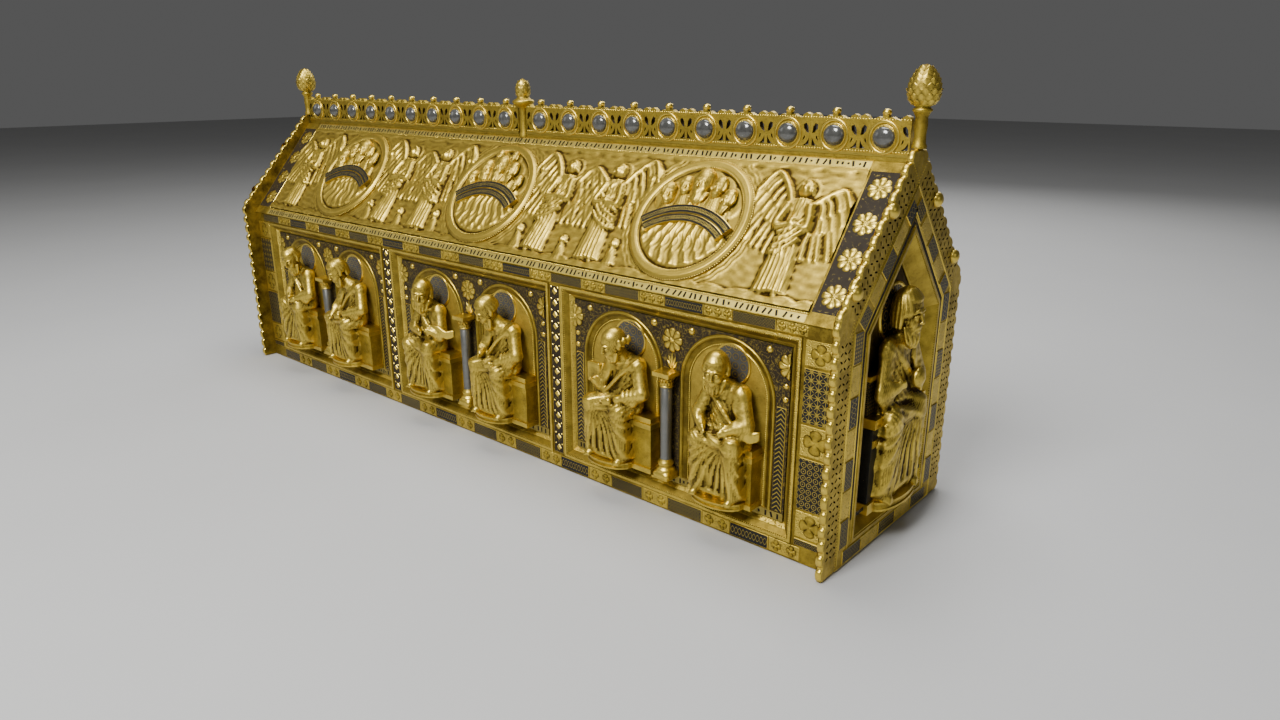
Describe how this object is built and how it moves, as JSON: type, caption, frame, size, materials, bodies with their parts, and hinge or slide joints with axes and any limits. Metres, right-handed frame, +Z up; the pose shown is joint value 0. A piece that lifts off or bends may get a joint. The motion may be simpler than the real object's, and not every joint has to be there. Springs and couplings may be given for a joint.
{
  "type": "reliquary casket",
  "caption": "House-shaped reliquary casket: oak chest and loose gabled roof sheathed in gilt copper, with seated figures in niches, roof roundels, framed gables and a crystal-set ridge crest.",
  "frame": {"origin": "middle of the underside, on the surface that the casket stands on", "axes": "+Z up, +X along the casket, -Y out of the front long wall"},
  "size_m": [1.8174, 0.4803, 0.7601],
  "materials": {
    "gilt": "fire-gilt copper, rubbed bright on high parts and brown in hollows",
    "silver": "dull tarnished silver",
    "oak": "old bare oak",
    "enamel": "dark blue-grey and brown enamel with fine gold lines",
    "crystal": "polished rock crystal over a dull backing"
  },
  "bodies": {
    "root": {"back_arcade_1": "gilt", "back_arcade_2": "gilt", "back_arcade_3": "gilt", "back_border": "gilt", "back_column_1": "silver", "back_column_2": "silver", "back_column_3": "silver", "back_figure_1": "gilt", "back_figure_2": "gilt", "back_figure_3": "gilt", "back_figure_4": "gilt", "back_figure_5": "gilt", "back_figure_6": "gilt", "back_frame_1": "gilt", "back_frame_2": "gilt", "back_frame_3": "gilt", "back_relief": "gilt", "back_roof_board": "oak", "back_roof_border": "gilt", "back_roundel_1": "gilt", "back_roundel_2": "gilt", "back_roundel_3": "gilt", "chest_back_wall": "oak", "chest_floor": "oak", "chest_front_wall": "oak", "chest_left_end": "oak", "chest_right_end": "oak", "crest_left": "gilt", "crest_right": "gilt", "finial_left": "gilt", "finial_middle": "gilt", "finial_right": "gilt", "front_arcade_1": "gilt", "front_arcade_2": "gilt", "front_arcade_3": "gilt", "front_border": "gilt", "front_column_1": "silver", "front_column_2": "silver", "front_column_3": "silver", "front_figure_1": "gilt", "front_figure_2": "gilt", "front_figure_3": "gilt", "front_figure_4": "gilt", "front_figure_5": "gilt", "front_figure_6": "gilt", "front_frame_1": "gilt", "front_frame_2": "gilt", "front_frame_3": "gilt", "front_relief": "gilt", "front_roof_board": "oak", "front_roof_border": "gilt", "front_roundel_1": "gilt", "front_roundel_2": "gilt", "front_roundel_3": "gilt", "left_gable_figure": "gilt", "left_gable_frame": "gilt", "left_gable_plate": "gilt", "right_gable_figure": "gilt", "right_gable_frame": "gilt", "right_gable_plate": "gilt"}
  },
  "joints": []
}
